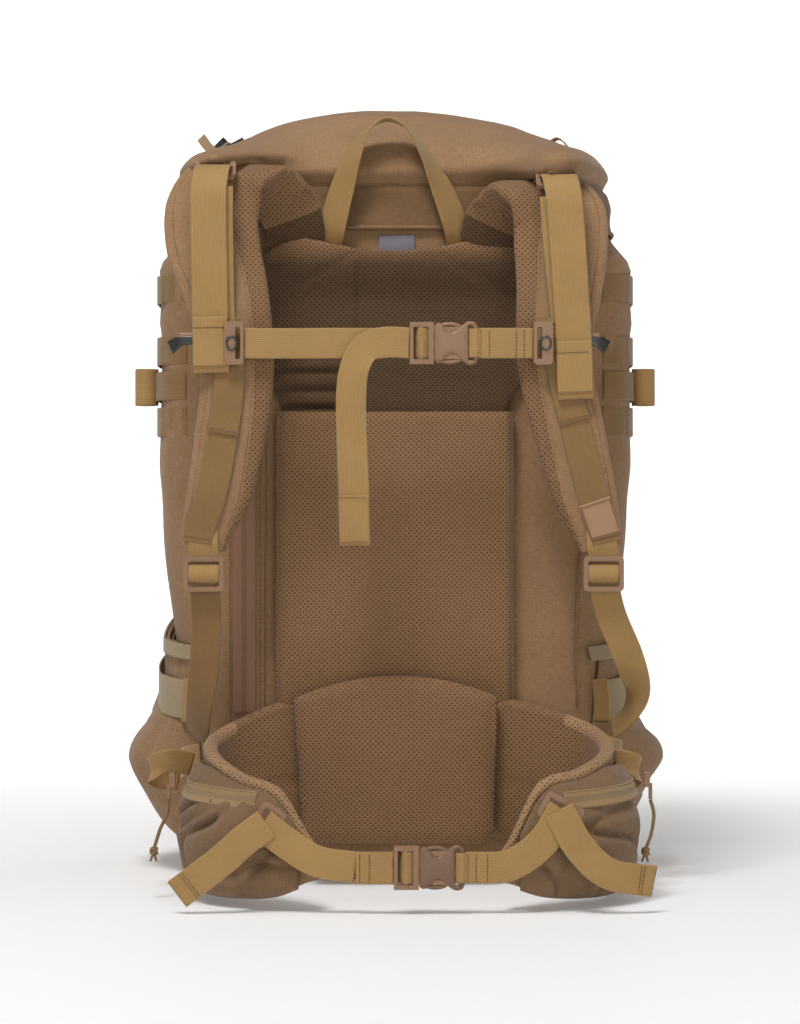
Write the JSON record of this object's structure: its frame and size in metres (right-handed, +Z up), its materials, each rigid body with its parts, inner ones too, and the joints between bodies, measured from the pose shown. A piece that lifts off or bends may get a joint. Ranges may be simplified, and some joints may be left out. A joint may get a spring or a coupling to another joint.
{
  "type": "hunting backpack",
  "caption": "Internal-frame hunting backpack with a sliding shoulder harness, padded hip belt, side pockets, webbing rows and a lift-off lid.",
  "frame": {"origin": "centre of the flat bottom of the bag", "axes": "+Z up, -Y towards the harness side (the wearer's back), +X to the right when facing the harness"},
  "size_m": [0.4812, 0.5165, 0.685],
  "materials": {
    "pack_fabric": "matte",
    "air_mesh": "matte",
    "webbing": "matte",
    "tan_plastic": "satin",
    "black_plastic": "satin",
    "zip_tape": "matte",
    "label": "matte",
    "cord": "matte",
    "frame_aluminium": "satin",
    "frame_board": "matte"
  },
  "bodies": {
    "bag": {"main_bag": "pack_fabric", "frame_sheet": "frame_board", "frame_hoop": "frame_aluminium", "back_pad": "air_mesh", "lumbar_pad": "air_mesh", "front_pocket": "pack_fabric", "side_zip_tape": "zip_tape", "size_label": "label", "left_webbing_row_1": "webbing", "left_webbing_row_2": "webbing", "left_webbing_row_3": "webbing", "right_webbing_row_1": "webbing", "right_webbing_row_2": "webbing", "right_webbing_row_3": "webbing", "left_compression_strap": "webbing", "right_compression_strap": "webbing", "left_side_pocket": "pack_fabric", "right_side_pocket": "pack_fabric", "left_lower_strap": "webbing", "right_lower_strap": "webbing", "left_belt_wing": "air_mesh", "right_belt_wing": "air_mesh", "left_belt_pocket": "pack_fabric", "right_belt_pocket": "pack_fabric", "left_stabilizer_strap": "webbing", "right_stabilizer_strap": "webbing", "left_waist_webbing": "webbing", "right_waist_webbing": "webbing", "left_belt_adjuster": "tan_plastic", "right_belt_adjuster": "tan_plastic", "waist_buckle_female": "tan_plastic"},
    "yoke": {"yoke_pad": "air_mesh", "left_shoulder_strap": "pack_fabric", "right_shoulder_strap": "pack_fabric", "left_strap_rail": "webbing", "right_strap_rail": "webbing", "left_load_lifter": "webbing", "right_load_lifter": "webbing", "left_lifter_buckle": "tan_plastic", "right_lifter_buckle": "tan_plastic"},
    "left_lock": {"left_ladder_lock": "tan_plastic"},
    "right_lock": {"right_ladder_lock": "tan_plastic"},
    "sternum": {"left_sternum_clip": "tan_plastic", "right_sternum_clip": "tan_plastic", "left_sternum_webbing": "webbing", "right_sternum_webbing": "webbing", "sternum_buckle_female": "tan_plastic"},
    "sternum_male": {"sternum_buckle_male": "tan_plastic", "sternum_tail": "webbing"},
    "waist_male": {"waist_buckle_male": "tan_plastic", "waist_sewn_end": "webbing"},
    "lid": {"lid": "pack_fabric", "lid_strap": "webbing", "lid_buckle": "black_plastic"},
    "haul": {"haul_loop": "webbing"},
    "side_slider": {"side_zip_slider": "tan_plastic"},
    "left_slider": {"left_pocket_slider": "tan_plastic", "left_pull_cord": "cord"},
    "right_slider": {"right_pocket_slider": "tan_plastic", "right_pull_cord": "cord"}
  },
  "joints": [
    {"name": "yoke_slide", "type": "slide", "parent": "bag", "child": "yoke", "axis": [0, 0, 1], "range_m": [-0.04, 0]},
    {"name": "left_lock_tilt", "type": "hinge", "parent": "yoke", "child": "left_lock", "pos_m": [-0.161, -0.214, 0.283], "axis": [-1, 0, 0], "range_deg": [0, 35]},
    {"name": "right_lock_tilt", "type": "hinge", "parent": "yoke", "child": "right_lock", "pos_m": [0.176, -0.214, 0.283], "axis": [-1, 0, 0], "range_deg": [0, 35]},
    {"name": "sternum_slide", "type": "slide", "parent": "yoke", "child": "sternum", "axis": [0, 0, 1], "range_m": [-0.03, 0.03]},
    {"name": "sternum_release", "type": "slide", "parent": "sternum", "child": "sternum_male", "axis": [-1, 0, 0], "range_m": [0, 0.025]},
    {"name": "waist_release", "type": "slide", "parent": "bag", "child": "waist_male", "axis": [-1, 0, 0], "range_m": [0, 0.028]},
    {"name": "left_pocket_zip", "type": "hinge", "parent": "bag", "child": "left_slider", "pos_m": [-0.1, -0.252, 0.1], "axis": [0, 0, 1], "range_deg": [0, 60]},
    {"name": "right_pocket_zip", "type": "hinge", "parent": "bag", "child": "right_slider", "pos_m": [0.122, -0.252, 0.1], "axis": [0, 0, -1], "range_deg": [0, 60]},
    {"name": "side_zip", "type": "slide", "parent": "bag", "child": "side_slider", "axis": [0, 0, 1], "range_m": [-0.2, 0]},
    {"name": "lid_lift", "type": "slide", "parent": "bag", "child": "lid", "axis": [0, 0, 1], "range_m": [0, 0.12]},
    {"name": "haul_loop_fold", "type": "hinge", "parent": "bag", "child": "haul", "pos_m": [0, -0.149, 0.5625], "axis": [1, 0, 0], "range_deg": [0, 95]}
  ]
}
